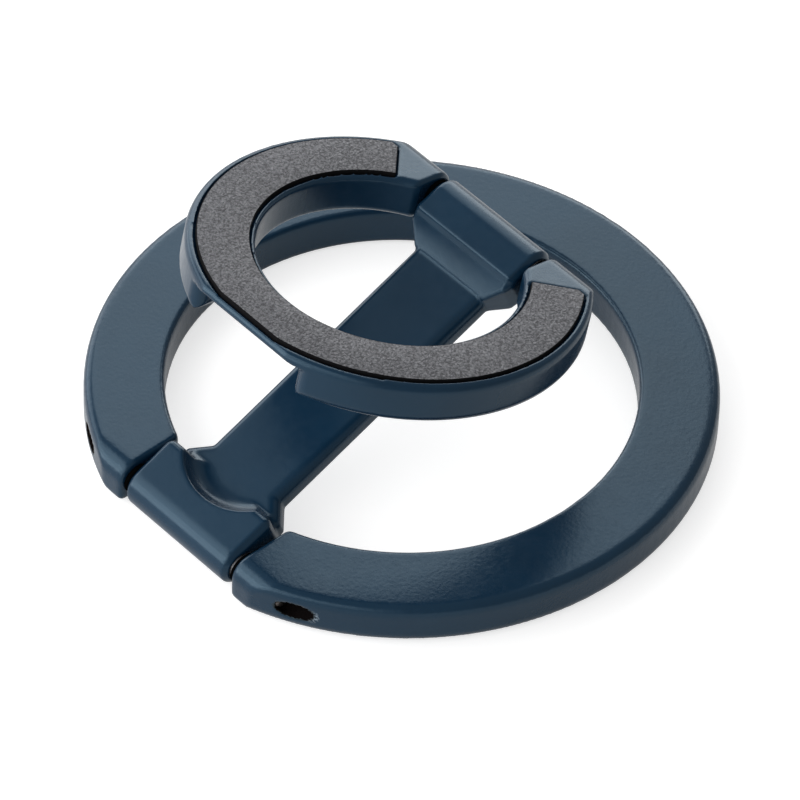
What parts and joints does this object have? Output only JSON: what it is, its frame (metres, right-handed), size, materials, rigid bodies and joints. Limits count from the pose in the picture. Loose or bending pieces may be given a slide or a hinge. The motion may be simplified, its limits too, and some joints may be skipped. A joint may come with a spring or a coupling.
{
  "type": "phone ring holder",
  "caption": "Folding magnetic phone ring holder: a flat C-ring for the phone's back, a hinged arm in its gap and a small hinged C-ring as finger loop and stand foot.",
  "frame": {"origin": "on the phone-side face, midway across the large ring and midway between its far edge and the hinge side", "axes": "+X along the two hinge axes, +Y from the large ring's hinge towards its far edge, +Z away from the phone"},
  "size_m": [0.058, 0.0564, 0.0246],
  "materials": {
    "navy_paint": "satin dark navy paint on a die casting",
    "grained_pad": "fine grained matt",
    "soft_pad": "matt",
    "pin_steel": "dull turned steel",
    "sleeve_steel": "dark spring steel",
    "washer_plastic": "matt black",
    "bare_steel": "rolled sheet",
    "magnet_plating": "nickel plated"
  },
  "bodies": {
    "base": {"phone_ring": "navy_paint", "backing_plate": "bare_steel", "magnet_01": "magnet_plating", "magnet_02": "magnet_plating", "magnet_03": "magnet_plating", "magnet_04": "magnet_plating", "magnet_05": "magnet_plating", "magnet_06": "magnet_plating", "magnet_07": "magnet_plating", "magnet_08": "magnet_plating", "magnet_09": "magnet_plating", "magnet_10": "magnet_plating", "magnet_11": "magnet_plating", "magnet_12": "magnet_plating", "magnet_13": "magnet_plating", "magnet_14": "magnet_plating", "phone_pad": "soft_pad", "base_pin": "pin_steel", "base_washer_left": "washer_plastic", "base_washer_right": "washer_plastic"},
    "arm": {"arm": "navy_paint", "base_sleeve_left": "sleeve_steel", "base_sleeve_right": "sleeve_steel", "foot_sleeve_left": "sleeve_steel", "foot_sleeve_right": "sleeve_steel"},
    "foot": {"foot_ring": "navy_paint", "foot_pad": "grained_pad", "foot_pin": "pin_steel", "foot_washer_left": "washer_plastic", "foot_washer_right": "washer_plastic"}
  },
  "joints": [
    {"name": "base_hinge", "type": "hinge", "parent": "base", "child": "arm", "pos_m": [0, -0.02612, 0.00225], "axis": [1, 0, 0], "range_deg": [-21.4, 113]},
    {"name": "foot_hinge", "type": "hinge", "parent": "arm", "child": "foot", "pos_m": [0, 0.00916, 0.01608], "axis": [1, 0, 0], "range_deg": [-66, 33.4]}
  ]
}
